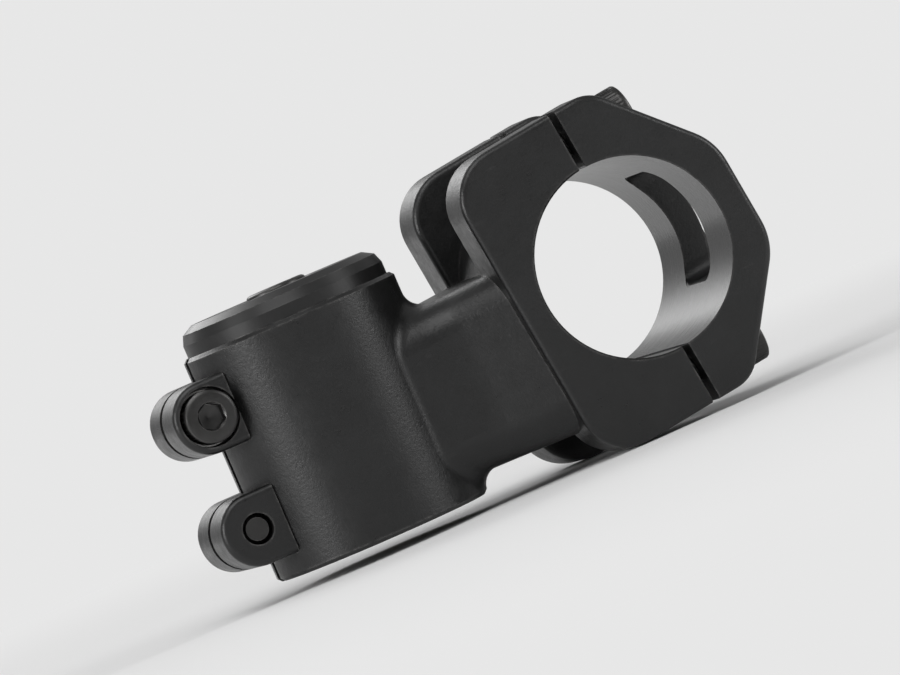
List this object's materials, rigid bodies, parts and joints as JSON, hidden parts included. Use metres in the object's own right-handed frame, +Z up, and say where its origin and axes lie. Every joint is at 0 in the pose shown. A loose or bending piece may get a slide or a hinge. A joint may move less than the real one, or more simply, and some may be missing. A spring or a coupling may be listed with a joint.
{
  "type": "handlebar stem",
  "caption": "Short threadless mountain bike handlebar stem with a split bar clamp, faceplate, pinch bolts, top cap and star nut.",
  "frame": {"origin": "centre of the steerer bore where it opens on the lower face of the steerer clamp", "axes": "+Z up the steerer axis, +X forward to the bar, +Y to the rider's left"},
  "size_m": [0.097, 0.0452, 0.0538],
  "materials": {
    "black_forging": "satin black anodised over bead blasting",
    "black_plate": "satin black anodised over bead blasting",
    "black_cap": "satin black anodised over bead blasting",
    "bolt_steel": "black oxide",
    "washer_steel": "plated",
    "nut_alloy": "machined",
    "spring_steel": "oiled spring steel"
  },
  "bodies": {
    "stem": {"stem_body": "black_forging", "star_nut_core": "nut_alloy", "star_washer_upper": "spring_steel", "star_washer_lower": "spring_steel"},
    "faceplate_with_washers": {"faceplate": "black_plate", "faceplate_washer_upper_left": "washer_steel", "faceplate_washer_upper_right": "washer_steel", "faceplate_washer_lower_left": "washer_steel", "faceplate_washer_lower_right": "washer_steel"},
    "faceplate_screw_upper_left": {"faceplate_bolt_upper_left": "bolt_steel"},
    "faceplate_screw_upper_right": {"faceplate_bolt_upper_right": "bolt_steel"},
    "faceplate_screw_lower_left": {"faceplate_bolt_lower_left": "bolt_steel"},
    "faceplate_screw_lower_right": {"faceplate_bolt_lower_right": "bolt_steel"},
    "pinch_collar_upper": {"pinch_washer_upper": "washer_steel"},
    "pinch_screw_upper": {"pinch_bolt_upper": "bolt_steel"},
    "pinch_collar_lower": {"pinch_washer_lower": "washer_steel"},
    "pinch_screw_lower": {"pinch_bolt_lower": "bolt_steel"},
    "cap": {"top_cap": "black_cap"},
    "preload_screw": {"top_cap_bolt": "bolt_steel"}
  },
  "joints": [
    {"name": "faceplate_off", "type": "slide", "parent": "stem", "child": "faceplate_with_washers", "axis": [0.9925, 0, 0.1219], "range_m": [0, 0.0128]},
    {"name": "faceplate_screw_upper_left_turn", "type": "hinge", "parent": "faceplate_with_washers", "child": "faceplate_screw_upper_left", "pos_m": [0.05439, 0.017, 0.04623], "axis": [0.9925, 0, 0.1219], "range_deg": [0, 5760]},
    {"name": "faceplate_screw_upper_right_turn", "type": "hinge", "parent": "faceplate_with_washers", "child": "faceplate_screw_upper_right", "pos_m": [0.05439, -0.017, 0.04623], "axis": [0.9925, 0, 0.1219], "range_deg": [0, 5760]},
    {"name": "faceplate_screw_lower_left_turn", "type": "hinge", "parent": "faceplate_with_washers", "child": "faceplate_screw_lower_left", "pos_m": [0.05936, 0.017, 0.00574], "axis": [0.9925, 0, 0.1219], "range_deg": [0, 5760]},
    {"name": "faceplate_screw_lower_right_turn", "type": "hinge", "parent": "faceplate_with_washers", "child": "faceplate_screw_lower_right", "pos_m": [0.05936, -0.017, 0.00574], "axis": [0.9925, 0, 0.1219], "range_deg": [0, 5760]},
    {"name": "pinch_collar_upper_off", "type": "slide", "parent": "stem", "child": "pinch_collar_upper", "axis": [0, -1, 0], "range_m": [0, 0.0168]},
    {"name": "pinch_screw_upper_turn", "type": "hinge", "parent": "pinch_collar_upper", "child": "pinch_screw_upper", "pos_m": [-0.02, -0.0068, 0.0285], "axis": [0, -1, 0], "range_deg": [0, 7560]},
    {"name": "pinch_collar_lower_off", "type": "slide", "parent": "stem", "child": "pinch_collar_lower", "axis": [0, 1, 0], "range_m": [0, 0.0168]},
    {"name": "pinch_screw_lower_turn", "type": "hinge", "parent": "pinch_collar_lower", "child": "pinch_screw_lower", "pos_m": [-0.02, 0.0068, 0.0095], "axis": [0, 1, 0], "range_deg": [0, 7560]},
    {"name": "cap_off", "type": "slide", "parent": "stem", "child": "cap", "axis": [0, 0, 1], "range_m": [0, 0.014]},
    {"name": "preload_screw_turn", "type": "hinge", "parent": "cap", "child": "preload_screw", "pos_m": [0, 0, 0.0392], "axis": [0, 0, 1], "range_deg": [0, 5040]}
  ],
  "couplings": [
    {"joint": "faceplate_screw_upper_left_turn", "follows": "faceplate_off", "rad_per_m": 7854},
    {"joint": "faceplate_screw_upper_right_turn", "follows": "faceplate_off", "rad_per_m": 7854},
    {"joint": "faceplate_screw_lower_left_turn", "follows": "faceplate_off", "rad_per_m": 7854},
    {"joint": "faceplate_screw_lower_right_turn", "follows": "faceplate_off", "rad_per_m": 7854},
    {"joint": "pinch_screw_upper_turn", "follows": "pinch_collar_upper_off", "rad_per_m": 7854},
    {"joint": "pinch_screw_lower_turn", "follows": "pinch_collar_lower_off", "rad_per_m": 7854},
    {"joint": "preload_screw_turn", "follows": "cap_off", "rad_per_m": 6283.2}
  ]
}
